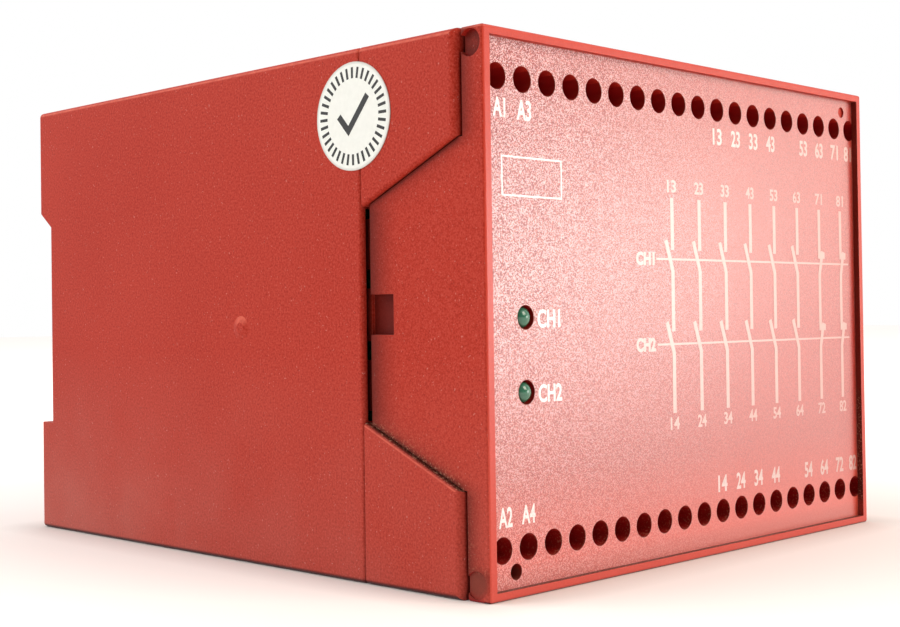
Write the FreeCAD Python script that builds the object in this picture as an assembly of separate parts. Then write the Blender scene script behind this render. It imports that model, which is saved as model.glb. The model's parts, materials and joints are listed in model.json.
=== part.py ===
import FreeCAD, Part
import os

from FreeCAD import Vector

# Safety relay in a moulded rail housing, 99 mm wide.
# Millimetres, +Z up. X runs across the front, the front face looks along -Y,
# and the origin is under the middle of the housing on its bottom face.

# ---------------------------------------------------------------- overall
width = 99.0                 # side to side
depth = 110.0                # front rim to rear face
height = 75.0
wall = 2.0                   # rear housing wall
edge_r = 0.8                 # outer edges of the mouldings
seam_from_front = 23.0       # front rim to the mouth of the rear housing
mouth_edge_r = 0.6           # outer edge of the rear housing's mouth
mouth_wall = 0.9             # thinned wall beside the skirt
mouth_rebate = 1.6
seam_gap = 0.15              # joint line between the mouldings
seat_gap = 0.05              # between pieces that stand on each other

# ---------------------------------------------------------------- terminal rows
ways = 19
pitch = 5.08
row_from_edge = 6.35         # screw axis to the top or bottom face
row_offset = 0.6             # the rows sit a little right of the middle

# ---------------------------------------------------------------- front cover
cover_inset = 0.7            # cover side behind the housing side
cover_edge_r = 0.4           # outer edges of the frame
rim_side = 1.4               # rim width at the sides
rim_top = 1.2                # rim width at the top and bottom
field_recess = 1.0           # rim to the sunk label field
plate = 1.8                  # thickness of the field
strip_depth = 3.8            # depth of the frame round the field
skirt_wall = 1.4
skirt_gap = 1.1              # open joint between skirt and rear housing
skirt_clearance = 0.2        # skirt to the slanted terminal housings
access_hole_d = 3.6          # screwdriver holes
guide_bar_height = 8.0       # thick bar behind each row of holes
guide_bar_gap = 0.3          # bar to the terminal housing
vent_hole_d = 2.2            # small round hole at one corner
vent_hole_from_edge = 3.3
dimple_d = 1.8               # shallow dimple at the opposite corner
dimple_t = 0.3
window_height = 5.6          # notch in the skirt's rear edge
window_length = 4.6
pin_mark_d = 3.7             # round pockets at the upright edges
pin_mark_from_front = 2.3
pin_mark_from_edge = 2.2
pin_mark_deep = 0.8
pin_mark_shallow = 0.25

# ---------------------------------------------------------------- channel lamps
led_from_left = 9.5
led_heights = (36.85, 26.85)
led_d = 3.0
led_hole_d = 3.3
led_flange_d = 3.8
led_flange_t = 1.0
led_body_length = 5.0
led_proud = 0.3              # dome above the label field
led_leg = 0.5
led_leg_pitch = 2.54
led_leg_length = 5.5
led_leg_overlap = 2.5        # leg along the lamp board
led_board_margin = 3.65      # board past the lamps

# ---------------------------------------------------------------- terminal housings
block_from_front = 4.4       # front rim to the terminal housing
block_height_front = 14.1
block_height_rear = 22.4
block_edge_r = 1.2
slant_edge_r = 0.5
spigot_length = 2.35         # tongue that enters the rear housing
spigot_height = 12.5
head_pocket = 3.8            # square pocket round the screw head
head_pocket_depth = 2.4
web = 0.8                    # wall under the screw head
chamber_width = 4.0
chamber_height = 6.9
chamber_depth = 9.0
wire_entry_width = 3.8
wire_entry_depth = 3.6
wire_entry_chamfer = 0.5

# ---------------------------------------------------------------- terminal metalwork
screw_head_d = 3.4
screw_head_t = 1.6
screw_d = 2.4
screw_slot = 0.5
screw_slot_depth = 0.8
thread_clearance = 0.05
cage_wall = 0.7
cage_length = 6.0
cage_clearance = 0.1
bar_t = 0.8
bar_position = 4.2           # chamber front to the current bar
bar_above_axis = 2.4
pin_size = 0.8
pin_below_axis = 6.0
pin_clearance = 0.1
pin_stick_out = 0.8          # pin past the back of the board

# ---------------------------------------------------------------- circuit boards
board_t = 1.6
board_side_gap = 0.2         # board edge to the housing wall
board_hole_clearance = 0.15
relay_board_height = 15.8    # middle of the relay boards from top and bottom
relay_board_rear_gap = 3.0
guide_rib_t = 1.2
guide_rib_width = 2.0
guide_rib_gap = 0.1
guide_rib_setback = 4.0      # from the terminal board
ledge_width = 4.0
ledge_height = 2.0
ledge_length = 6.0
ledge_x = 30.0

link_ways = 10
link_pitch = 2.54
link_size = 2.5
link_pin = 0.64
link_from_edge = 1.4

# ---------------------------------------------------------------- relays and small parts
relay_length = 55.0
relay_width = 16.5
relay_height = 16.0
relay_edge = 0.6             # bevel of the case
relay_x = 26.0
relay_front_y = -12.0
relay_pin = (0.5, 1.0)
relay_pin_rows = 5
relay_pin_pitch = 11.0
relay_pin_spread = 12.6
relay_pin_length = 3.2
capacitor_d = 12.5
capacitor_height = 20.0
capacitor_setback = 16.1     # from the front edge of the board
capacitor_spacing = 15.0
capacitor_groove = 0.5
lead = 0.6
lead_length = 3.0
lead_spread = 5.0
diode_d = 2.7
diode_length = 5.2
diode_lift = 1.0
diode_spread = 10.2
diode_pitch = 6.0
diode_first_y = 4.0

# ---------------------------------------------------------------- rail mounting
rail_height = 35.0
rail_clearance = 0.1
channel_depth = 4.0
channel_bottom = 19.0
channel_lead = 3.0           # slanted top end of the channel
lip_groove = 1.3             # room for the rail's edge
hook_overlap = 1.6
hook_width = 14.0
latch_x = 28.0
latch_width = 12.0
latch_flange = 1.2
latch_flange_t = 1.2
latch_gap = 0.2
latch_travel = 4.0
latch_rear_step = 0.6        # latch behind the rear face
latch_overlap = 1.8
latch_top_gap = 0.4
latch_stop = 1.6             # length of the stop over each flange
spring_wire = 0.7            # square section
spring_width = 4.4
spring_length = 12.0
spring_bends = 6
slot_height = 2.0
slot_width = 6.0
slot_depth = 1.6

# ---------------------------------------------------------------- snap joints
lip_t = 1.3
lip_gap = 0.3                # lip inside the skirt
lip_length = 4.5
lip_root = 6.0               # lip bonded to the wall
lip_height = 27.0
tongue_height = 7.4
tongue_slot = 2.7
tongue_length = 10.0
snap_nose = 0.7
snap_length = 1.6
snap_clearance = 0.3

# ---------------------------------------------------------------- cooling slots
slot_rows_y = (-12.0, 18.0)
slots_per_row = 12
cooling_slot = 1.6
cooling_slot_length = 18.0
cooling_slot_pitch = 6.6

# ---------------------------------------------------------------- gate mark, left side
gate_d = 3.6
gate_top_d = 1.6
gate_t = 0.25
gate_from_front = 50.6
gate_below_middle = 1.7

# ---------------------------------------------------------------- round seal
seal_d = 15.3
seal_t = 0.12
seal_from_front = 24.3
seal_from_top = 9.6

# ---------------------------------------------------------------- derived places
half_w = width / 2
front_y = -depth / 2
rear_y = depth / 2
mid_z = height / 2
seam_y = front_y + seam_from_front
field_y = front_y + field_recess
plate_back_y = field_y + plate
strip_back_y = front_y + strip_depth
block_y = front_y + block_from_front
block_back_y = seam_y - seam_gap
spigot_y = block_back_y + spigot_length
board_y = spigot_y + seat_gap
board_back_y = board_y + board_t
cover_x = half_w - cover_inset
inner_x = half_w - wall
row_z = height - row_from_edge
first_x = -(ways - 1) * pitch / 2 + row_offset
way_x = [first_x + pitch * i for i in range(ways)]
led_x = led_from_left - half_w
chamber_y = block_y + head_pocket_depth + web
bar_y = chamber_y + bar_position
pin_z = row_z - pin_below_axis
channel_top = channel_bottom + rail_height + rail_clearance
channel_y = rear_y - channel_depth
lip_x = cover_x - skirt_wall - lip_gap
relay_board_top = height - relay_board_height
capacitor_y = board_back_y + seat_gap + capacitor_setback


# ---------------------------------------------------------------- small helpers
def block(x0, x1, y0, y1, z0, z1):
    """Box between three pairs of limits."""
    return Part.makeBox(x1 - x0, y1 - y0, z1 - z0, Vector(x0, y0, z0))


def prism_x(points, x0, x1):
    """Outline of (y, z) points carried along X."""
    corners = [Vector(x0, y, z) for y, z in points]
    face = Part.Face(Part.makePolygon(corners + corners[:1]))
    return face.extrude(Vector(x1 - x0, 0, 0))


def rod_y(d, x, y0, y1, z):
    """Round bar along Y."""
    return Part.makeCylinder(d / 2, y1 - y0, Vector(x, y0, z), Vector(0, 1, 0))


def edges_where(shape, test):
    """Straight edges whose two ends both pass the test."""
    found = []
    for edge in shape.Edges:
        if len(edge.Vertexes) == 2 and all(test(v.Point) for v in edge.Vertexes):
            found.append(edge)
    return found


def near(a, b):
    return abs(a - b) < 1e-6


def flipped(shape):
    """The same shape upside down, for the bottom row."""
    return shape.mirror(Vector(0, 0, mid_z), Vector(0, 0, 1))


def other_side(shape):
    """The same shape on the other side of the housing."""
    return shape.mirror(Vector(0, 0, 0), Vector(1, 0, 0))


def save(shape, name):
    solids = shape.Solids
    shape = solids[0] if len(solids) == 1 else Part.makeCompound(solids)
    assert shape.isValid(), name
    shape.exportStep("parts/" + name + ".step")


# ---------------------------------------------------------------- rear housing
def side_lip():
    """Inner lip of the left wall with its snap tongue between two slots."""
    outer, inner = -lip_x, -lip_x + lip_t
    low, high = mid_z - lip_height / 2, mid_z + lip_height / 2
    lip = block(-inner_x, inner, seam_y, seam_y + lip_root, low, high)
    lip = lip.fuse(block(outer, inner, seam_y - lip_length, seam_y, low, high))
    tongue_low, tongue_high = mid_z - tongue_height / 2, mid_z + tongue_height / 2
    for slot_low in (tongue_low - tongue_slot, tongue_high):
        slot = block(-half_w, inner + 1, seam_y - lip_length - 1, seam_y + lip_root / 2,
                     slot_low, slot_low + tongue_slot)
        lip = lip.cut(slot)
    tip_y = seam_y - tongue_length
    tongue = block(outer, inner, tip_y, seam_y, tongue_low, tongue_high)
    nose = Part.Face(Part.makePolygon([
        Vector(outer, tip_y, tongue_low),
        Vector(outer - snap_nose, tip_y + snap_length, tongue_low),
        Vector(outer, tip_y + snap_length, tongue_low),
        Vector(outer, tip_y, tongue_low)]))
    return lip.fuse([tongue, nose.extrude(Vector(0, 0, tongue_height))])


def latch_pocket(x):
    """Guide for one rail latch: a slot with undercut sides, open to the rail."""
    half = latch_width / 2 + latch_gap
    under = half + latch_flange
    slot = block(x - half, x + half, channel_y, rear_y + 1, wall, channel_bottom + 1)
    undercut = block(x - under, x + under, channel_y, channel_y + latch_flange_t + 2 * latch_gap,
                     wall, channel_bottom - latch_stop)
    return slot.fuse(undercut)


def rail_hook(x):
    """Fixed hook that hangs over the rail's upper edge."""
    hook_y = channel_y + lip_groove
    nose_y = rear_y - latch_rear_step
    low = channel_top - hook_overlap
    outline = [(channel_y, channel_top), (hook_y, channel_top), (hook_y, low),
               (hook_y + 0.6, low), (nose_y, channel_top), (nose_y, channel_top + channel_lead),
               (channel_y, channel_top + channel_lead)]
    return prism_x(outline, x - hook_width / 2, x + hook_width / 2)


def gate_mark():
    """Low cone on the left wall, where the moulding was filled."""
    foot = Vector(-half_w, front_y + gate_from_front, mid_z - gate_below_middle)
    return Part.makeCone(gate_d / 2, gate_top_d / 2, gate_t, foot, Vector(-1, 0, 0))


def rear_housing():
    shell = block(-half_w, half_w, seam_y, rear_y, 0, height)
    rounded = edges_where(shell, lambda p: near(p.y, rear_y))
    for x in (-half_w, half_w):
        for z in (0, height):
            rounded += edges_where(shell, lambda p: near(p.x, x) and near(p.z, z))
    shell = shell.makeFillet(edge_r, rounded)
    shell = shell.makeFillet(mouth_edge_r, edges_where(shell, lambda p: near(p.y, seam_y)))

    # the wall behind the rail is set back, the rest reaches the rear face
    cavity = block(-inner_x, inner_x, seam_y - 1, channel_y - wall, wall, height - wall)
    upper_low = channel_top + channel_lead + wall
    cavity = cavity.fuse(block(-inner_x, inner_x, 0, rear_y - wall, upper_low, height - wall))
    guide_half = latch_width / 2 + latch_gap + latch_flange + wall
    lower_high = channel_bottom - wall
    for x0, x1 in ((-inner_x, -latch_x - guide_half),
                   (-latch_x + guide_half, latch_x - guide_half),
                   (latch_x + guide_half, inner_x)):
        cavity = cavity.fuse(block(x0, x1, 0, rear_y - wall, wall, lower_high))
    rebate_low = block_height_rear + skirt_clearance
    rebate = block(-half_w + mouth_wall, -inner_x + 1, seam_y - 1, seam_y + mouth_rebate,
                   rebate_low, height - rebate_low)
    shell = shell.cut([cavity, rebate, other_side(rebate)])

    channel = prism_x([(channel_y, channel_bottom), (channel_y, channel_top),
                       (rear_y + 1, channel_top + channel_lead * (1 + 1 / channel_depth)),
                       (rear_y + 1, channel_bottom)], -half_w - 1, half_w + 1)
    shell = shell.cut(channel)
    shell = shell.fuse([rail_hook(x) for x in (-latch_x, latch_x)])
    shell = shell.cut([latch_pocket(x) for x in (-latch_x, latch_x)])

    # guides for the relay boards and ledges behind the terminal board
    added = []
    rib_front, rib_rear = board_back_y + guide_rib_setback, channel_y - wall
    rib_x = inner_x - guide_rib_width
    for z in (relay_board_height, relay_board_top):
        for low in (z - board_t / 2 - guide_rib_gap - guide_rib_t, z + board_t / 2 + guide_rib_gap):
            added.append(block(-inner_x, -rib_x, rib_front, rib_rear, low, low + guide_rib_t))
            added.append(block(rib_x, inner_x, rib_front, rib_rear, low, low + guide_rib_t))
    for x in (-ledge_x, ledge_x):
        for low in (wall, height - wall - ledge_height):
            added.append(block(x - ledge_width / 2, x + ledge_width / 2, board_back_y + seat_gap,
                               board_back_y + ledge_length, low, low + ledge_height))
    lip = side_lip()
    added += [lip, other_side(lip), gate_mark()]
    shell = shell.fuse(added)

    slots = []
    for y in slot_rows_y:
        for i in range(slots_per_row):
            x = (i - (slots_per_row - 1) / 2) * cooling_slot_pitch
            for z in (-1, height - wall - 1):
                slots.append(block(x - cooling_slot / 2, x + cooling_slot / 2,
                                   y, y + cooling_slot_length, z, z + wall + 2))
    return shell.cut(slots).removeSplitter()


# ---------------------------------------------------------------- front cover
def block_edge_z(y, from_block):
    """Height above the bottom of the lower terminal housing's slanted top."""
    slope = (block_height_rear - block_height_front) / (block_back_y - block_y)
    return block_height_front + slope * (y - block_y) + from_block


def pin_mark(z, sunk):
    return Part.makeCylinder(pin_mark_d / 2, sunk, Vector(-cover_x, front_y + pin_mark_from_front, z),
                             Vector(1, 0, 0))


def cover_skirt():
    """Left skirt: a plate between the slanted ends of the terminal housings."""
    back_y = seam_y - skirt_gap
    front = strip_back_y - 1
    start_z = block_edge_z(block_y, skirt_clearance)
    end_z = block_edge_z(back_y, skirt_clearance)
    outline = [(front, start_z), (block_y, start_z), (back_y, end_z),
               (back_y, height - end_z), (block_y, height - start_z), (front, height - start_z)]
    skirt = prism_x(outline, -cover_x, -cover_x + skirt_wall)
    window = block(-half_w, 0, back_y - window_length, back_y + 1,
                   mid_z - window_height / 2, mid_z + window_height / 2)
    tip_y = seam_y - tongue_length
    catch = block(-lip_x - snap_nose - snap_clearance, 0, tip_y - snap_clearance,
                  tip_y + snap_length + snap_clearance,
                  mid_z - tongue_height / 2 - snap_clearance,
                  mid_z + tongue_height / 2 + snap_clearance)
    return skirt.cut([window, catch])


def front_cover():
    frame = block(-cover_x, cover_x, front_y, strip_back_y, 0, height)
    rounded = edges_where(frame, lambda p: near(p.y, front_y))
    for x in (-cover_x, cover_x):
        for z in (0, height):
            rounded += edges_where(frame, lambda p: near(p.x, x) and near(p.z, z))
    frame = frame.makeFillet(cover_edge_r, rounded)
    field = block(-cover_x + rim_side, cover_x - rim_side, front_y - 1, field_y,
                  rim_top, height - rim_top)
    inside = block(-cover_x + skirt_wall, cover_x - skirt_wall, plate_back_y, strip_back_y + 1,
                   skirt_wall, height - skirt_wall)
    frame = frame.cut([field, inside])

    bar_back = block_y - guide_bar_gap
    bar = block(-cover_x + skirt_wall, cover_x - skirt_wall, plate_back_y, bar_back,
                skirt_wall, row_from_edge + guide_bar_height / 2)
    skirt = cover_skirt()
    cover = frame.fuse([bar, flipped(bar), skirt, other_side(skirt)])

    holes = []
    for x in way_x:
        for z in (row_from_edge, row_z):
            holes.append(rod_y(access_hole_d, x, field_y, block_y, z))
    holes.append(rod_y(vent_hole_d, way_x[0] + pitch / 2, field_y, block_y, vent_hole_from_edge))
    holes.append(rod_y(dimple_d, way_x[-1] - pitch / 2, field_y, field_y + dimple_t,
                       height - vent_hole_from_edge))
    for z in led_heights:
        holes.append(rod_y(led_hole_d, led_x, field_y, block_y, z))
    marks = [pin_mark(pin_mark_from_edge, pin_mark_shallow),
             pin_mark(height - pin_mark_from_edge, pin_mark_deep)]
    marks += [other_side(mark) for mark in marks]
    return cover.cut(holes + marks).removeSplitter()


# ---------------------------------------------------------------- terminals
def way_room(x):
    """Everything hollow in one way of the upper terminal housing."""
    low, high = row_z - chamber_height / 2, row_z + chamber_height / 2
    pocket = block(x - head_pocket / 2, x + head_pocket / 2, block_y - 1,
                   block_y + head_pocket_depth, row_z - head_pocket / 2, row_z + head_pocket / 2)
    shank = screw_d / 2 + 0.2
    neck = block(x - shank, x + shank, block_y, chamber_y + 1, row_z - shank, row_z + shank)
    chamber = block(x - chamber_width / 2, x + chamber_width / 2,
                    chamber_y, chamber_y + chamber_depth, low, high)
    entry_y = bar_y + bar_t
    half = wire_entry_width / 2
    mouth = wire_entry_chamfer
    entry = prism_x([(entry_y, low), (entry_y, height - mouth), (entry_y - mouth, height),
                     (entry_y - mouth, height + 1), (entry_y + wire_entry_depth + mouth, height + 1),
                     (entry_y + wire_entry_depth + mouth, height),
                     (entry_y + wire_entry_depth, height - mouth), (entry_y + wire_entry_depth, low)],
                    x - half, x + half)
    pin_half = pin_size / 2 + pin_clearance
    foot_half = bar_width() / 2 + pin_clearance
    foot = block(x - foot_half, x + foot_half, bar_y - pin_clearance, bar_y + bar_t + pin_clearance,
                 pin_z - pin_half, low + 1)
    pin_way = block(x - pin_half, x + pin_half, bar_y, spigot_y + 1, pin_z - pin_half, pin_z + pin_half)
    return [pocket, neck, chamber, entry, foot, pin_way]


def bar_width():
    """The current bar fills the cage from side to side."""
    return chamber_width - 2 * cage_clearance - 2 * cage_wall - 2 * pin_clearance


def terminal_housing():
    """Upper row. Its two ends are the corner blocks that show at the sides."""
    outline = [(block_y, height), (block_back_y, height), (block_back_y, height - block_height_rear),
               (block_y, height - block_height_front)]
    body = prism_x(outline, -half_w, half_w)
    slanted = []
    for x in (-half_w, half_w):
        slanted += edges_where(body, lambda p: near(p.x, x) and p.z < height - 1)
    body = body.makeFillet(slant_edge_r, slanted)
    plan = block(-half_w, half_w, block_y, block_back_y, 0, height)
    upright = []
    top = []
    for x in (-half_w, half_w):
        upright += edges_where(plan, lambda p: near(p.x, x) and near(p.y, block_y))
        top += edges_where(plan, lambda p: near(p.x, x) and near(p.z, height))
    body = body.common(plan.makeFillet(block_edge_r, upright)).common(plan.makeFillet(edge_r, top))
    spigot_half = inner_x - board_side_gap
    spigot_top = height - wall - board_side_gap
    spigot = block(-spigot_half, spigot_half, block_back_y - 1, spigot_y,
                   spigot_top - spigot_height, spigot_top)
    rooms = []
    for x in way_x:
        rooms += way_room(x)
    return body.fuse(spigot).cut(rooms).removeSplitter()


def terminal_screw(x):
    head_y = block_y + head_pocket_depth - 0.2 - screw_head_t
    tip_y = bar_y - pin_clearance
    head = rod_y(screw_head_d, x, head_y, head_y + screw_head_t, row_z)
    shank = rod_y(screw_d, x, head_y + screw_head_t / 2, tip_y, row_z)
    slot = block(x - screw_head_d, x + screw_head_d, head_y - 1, head_y + screw_slot_depth,
                 row_z - screw_slot / 2, row_z + screw_slot / 2)
    return head.fuse(shank).cut(slot).removeSplitter()


def terminal_cage(x):
    """Clamp cage: a square tube round the wire way, tapped for the screw."""
    half = chamber_width / 2 - cage_clearance
    y0, y1 = chamber_y + cage_clearance, chamber_y + chamber_depth - cage_clearance
    low, high = row_z - cage_length / 2, row_z + cage_length / 2
    tube = block(x - half, x + half, y0, y1, low, high)
    tube = tube.cut(block(x - half + cage_wall, x + half - cage_wall, y0 + cage_wall, y1 - cage_wall,
                          low - 1, high + 1))
    return tube.cut(rod_y(screw_d + 2 * thread_clearance, x, y0 - 1, y0 + cage_wall + 1, row_z))


def terminal_pin(x):
    """Current bar inside the cage, with its solder pin back to the board."""
    half = bar_width() / 2
    pin_half = pin_size / 2
    bar = block(x - half, x + half, bar_y, bar_y + bar_t, pin_z - pin_half, row_z + bar_above_axis)
    pin = block(x - pin_half, x + pin_half, bar_y, board_back_y + pin_stick_out,
                pin_z - pin_half, pin_z + pin_half)
    return bar.fuse(pin).removeSplitter()


def each_way(make):
    return Part.makeCompound([make(x) for x in way_x])


# ---------------------------------------------------------------- circuit boards
def link_x():
    return [(i - (link_ways - 1) / 2) * link_pitch for i in range(link_ways)]


def link_pin_z():
    """Height of the link pins in the terminal board, lower board."""
    return relay_board_height + board_t / 2 + seat_gap + link_size / 2


def link_pin_y():
    """Place of the link pins in the relay boards."""
    return board_back_y + seat_gap + link_from_edge + link_size / 2


def board_link():
    """Right-angle pin strip between the lower relay board and the terminal board."""
    x_half = link_ways * link_pitch / 2
    base = relay_board_height + board_t / 2 + seat_gap
    y0 = link_pin_y() - link_size / 2
    body = block(-x_half, x_half, y0, y0 + link_size, base, base + link_size)
    z, y, half = link_pin_z(), link_pin_y(), link_pin / 2
    below = relay_board_height - board_t / 2 - pin_stick_out
    pins = []
    for x in link_x():
        pins.append(block(x - half, x + half, board_y - pin_stick_out, y, z - half, z + half))
        pins.append(block(x - half, x + half, y - half, y + half, below, z + half))
    return body.fuse(pins).removeSplitter()


def led_board_limits():
    """Upright edges of the small board that carries the two lamps."""
    return min(led_heights) - led_board_margin, max(led_heights) + led_board_margin


def led_board():
    low, high = led_board_limits()
    y0 = led_back_y() + led_leg_length - led_leg_overlap
    half = board_t / 2
    board = block(led_x - half, led_x + half, y0, board_y - seat_gap, low, high)
    tabs = [block(led_x - half, led_x + half, board_y - 1, board_back_y, z - 2, z + 2)
            for z in led_heights]
    return board.fuse(tabs).removeSplitter()


def terminal_board():
    half = inner_x - board_side_gap
    low, high = wall + board_side_gap, height - wall - board_side_gap
    board = block(-half, half, board_y, board_back_y, low, high)
    cuts = []
    lip_inner = lip_x - lip_t - board_side_gap
    lip_low = mid_z - lip_height / 2 - 2 * board_side_gap
    for x0, x1 in ((-half - 1, -lip_inner), (lip_inner, half + 1)):
        cuts.append(block(x0, x1, board_y - 1, board_back_y + 1, lip_low, height - lip_low))
    hole = pin_size / 2 + board_hole_clearance
    for x in way_x:
        for z in (pin_z, height - pin_z):
            cuts.append(block(x - hole, x + hole, board_y - 1, board_back_y + 1, z - hole, z + hole))
    hole = link_pin / 2 + board_hole_clearance
    for x in link_x():
        for z in (link_pin_z(), height - link_pin_z()):
            cuts.append(block(x - hole, x + hole, board_y - 1, board_back_y + 1, z - hole, z + hole))
    slot = board_t / 2 + board_hole_clearance
    for z in led_heights:
        cuts.append(block(led_x - slot, led_x + slot, board_y - 1, board_back_y + 1,
                          z - 2 - board_hole_clearance, z + 2 + board_hole_clearance))
    return board.cut(cuts)


def relay_pin_places(x):
    middle_y = relay_front_y + relay_length / 2
    for row in range(relay_pin_rows):
        y = middle_y + (row - (relay_pin_rows - 1) / 2) * relay_pin_pitch
        for side in (-1, 1):
            yield x + side * relay_pin_spread / 2, y


def capacitor_places():
    for side in (-1, 1):
        yield side * capacitor_spacing / 2, capacitor_y


def diode_places():
    for i in range(4):
        yield 0, diode_first_y + i * diode_pitch


def relay_board(with_supply):
    """Lower relay board. The supply parts stand on the lower one only."""
    half = inner_x - board_side_gap
    low, high = relay_board_height - board_t / 2, relay_board_height + board_t / 2
    board = block(-half, half, board_back_y + seat_gap, channel_y - wall - relay_board_rear_gap,
                  low, high)

    def hole(x, y, x_half, y_half):
        return block(x - x_half, x + x_half, y - y_half, y + y_half, low - 1, high + 1)

    cuts = []
    pin_x, pin_y = (size / 2 + board_hole_clearance for size in relay_pin)
    for x in (-relay_x, relay_x):
        cuts += [hole(px, py, pin_x, pin_y) for px, py in relay_pin_places(x)]
    link_half = link_pin / 2 + board_hole_clearance
    cuts += [hole(x, link_pin_y(), link_half, link_half) for x in link_x()]
    if with_supply:
        lead_half = lead / 2 + board_hole_clearance
        for x, y in capacitor_places():
            for side in (-1, 1):
                cuts.append(hole(x, y + side * lead_spread / 2, lead_half, lead_half))
        for x, y in diode_places():
            for side in (-1, 1):
                cuts.append(hole(x + side * diode_spread / 2, y, lead_half, lead_half))
    return board.cut(cuts)


# ---------------------------------------------------------------- parts on the boards
def output_relay(x):
    """Sealed relay standing on the lower relay board."""
    base = relay_board_height + board_t / 2 + seat_gap
    can = block(x - relay_width / 2, x + relay_width / 2, relay_front_y, relay_front_y + relay_length,
                base, base + relay_height)
    upright = [e for e in can.Edges if near(e.Vertexes[0].Z, base) != near(e.Vertexes[1].Z, base)]
    top = edges_where(can, lambda p: near(p.z, base + relay_height))
    can = can.makeChamfer(relay_edge, upright + top)
    pin_x, pin_y = (size / 2 for size in relay_pin)
    pins = [block(px - pin_x, px + pin_x, py - pin_y, py + pin_y, base - relay_pin_length, base + 1)
            for px, py in relay_pin_places(x)]
    return can.fuse(pins).removeSplitter()


def supply_capacitor(x, y):
    base = relay_board_height + board_t / 2 + seat_gap
    r = capacitor_d / 2
    waist = r - capacitor_groove
    points = [(0, 0), (r, 0), (r, 1.5), (waist, 2.0), (waist, 2.6), (r, 3.1),
              (r, capacitor_height - 0.5), (r - 0.5, capacitor_height), (0, capacitor_height)]
    corners = [Vector(x + px, y, base + pz) for px, pz in points]
    can = Part.Face(Part.makePolygon(corners + corners[:1]))
    can = can.revolve(Vector(x, y, base), Vector(0, 0, 1), 360)
    leads = []
    for side in (-1, 1):
        middle = y + side * lead_spread / 2
        leads.append(block(x - lead / 2, x + lead / 2, middle - lead / 2, middle + lead / 2,
                           base - lead_length, base + 1))
    return can.fuse(leads)


def suppressor_diode(x, y):
    base = relay_board_height + board_t / 2
    axis_z = base + diode_lift + diode_d / 2
    body = Part.makeCylinder(diode_d / 2, diode_length, Vector(x - diode_length / 2, y, axis_z),
                             Vector(1, 0, 0))
    half = lead / 2
    reach = diode_spread / 2
    wires = [block(x - reach - half, x + reach + half, y - half, y + half, axis_z - half, axis_z + half)]
    for side in (-1, 1):
        middle = x + side * reach
        wires.append(block(middle - half, middle + half, y - half, y + half,
                           base - lead_length, axis_z + half))
    return body.fuse(wires).removeSplitter()


def led_back_y():
    """Underside of the lamp's flange."""
    return field_y - led_proud + led_body_length


def led(z):
    """3 mm lamp: dome, barrel, flange and two legs beside the lamp board."""
    r = led_d / 2
    tip_y = field_y - led_proud
    dome = Part.makeSphere(r, Vector(led_x, tip_y + r, z))
    barrel = rod_y(led_d, led_x, tip_y + r, led_back_y(), z)
    flange = rod_y(led_flange_d, led_x, led_back_y() - led_flange_t, led_back_y(), z)
    legs = []
    for side in (-1, 1):
        middle = led_x + side * led_leg_pitch / 2
        legs.append(block(middle - led_leg / 2, middle + led_leg / 2,
                          led_back_y() - led_flange_t / 2, led_back_y() + led_leg_length,
                          z - led_leg / 2, z + led_leg / 2))
    return dome.fuse([barrel, flange] + legs).removeSplitter()


# ---------------------------------------------------------------- rail latches
def latch_bottom():
    return wall + latch_travel + 2 * latch_gap


def spring_top():
    return wall + seat_gap + spring_length


def rail_latch(x):
    """Sliding latch under the rail, with its nose, flanges and spring slot."""
    half = latch_width / 2
    y0, y1 = channel_y + latch_gap, rear_y - latch_rear_step
    low, top = latch_bottom(), channel_bottom - latch_top_gap
    nose_y = channel_y + lip_groove
    outline = [(y0, low), (y0, top), (nose_y, top), (nose_y, channel_bottom + latch_overlap),
               (nose_y + 0.5, channel_bottom + latch_overlap), (y1, top + 0.8), (y1, low)]
    latch = prism_x(outline, x - half, x + half)
    flange_top = channel_bottom - latch_stop - latch_gap
    latch = latch.fuse(block(x - half - latch_flange + latch_gap, x + half + latch_flange - latch_gap,
                             y0, y0 + latch_flange_t, low, flange_top))
    spring_room = spring_width / 2 + latch_gap
    latch = latch.cut(block(x - spring_room, x + spring_room, y0 - 1, y1 + 1,
                            low - 1, spring_top() + seat_gap))
    eye_low = spring_top() + (top - spring_top() - slot_height) / 2
    eye = block(x - slot_width / 2, x + slot_width / 2, y1 - slot_depth, y1 + 1,
                eye_low, eye_low + slot_height)
    return latch.cut(eye).removeSplitter()


def latch_spring(x):
    """Zigzag spring under the latch: straight runs joined by half rings."""
    y = (channel_y + latch_gap + rear_y - latch_rear_step - spring_wire) / 2
    half = spring_wire / 2
    base, top = wall + seat_gap + half, spring_top() - half
    step = (top - base) / spring_bends
    reach = spring_width / 2 - half - step / 2
    runs = []
    for i in range(spring_bends + 1):
        z = base + i * step
        runs.append(block(x - reach, x + reach, y, y + spring_wire, z - half, z + half))
    for i in range(spring_bends):
        side = 1 if i % 2 == 0 else -1
        middle = Vector(x + side * reach, y, base + (i + 0.5) * step)
        turn = Part.makeCylinder(step / 2 + half, spring_wire, middle, Vector(0, 1, 0))
        turn = turn.cut(Part.makeCylinder(step / 2 - half, spring_wire, middle, Vector(0, 1, 0)))
        inner = middle.x + (0 if side > 0 else -spring_width)
        runs.append(turn.common(block(inner, inner + spring_width, y, y + spring_wire,
                                      base - step, top + step)))
    return runs[0].fuse(runs[1:]).removeSplitter()


# ---------------------------------------------------------------- round seal
def seal_label():
    return Part.makeCylinder(seal_d / 2, seal_t,
                             Vector(-half_w, front_y + seal_from_front, height - seal_from_top),
                             Vector(-1, 0, 0))


# ---------------------------------------------------------------- build
os.makedirs("parts", exist_ok=True)

save(rear_housing(), "rear_housing")
save(front_cover(), "front_cover")

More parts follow.
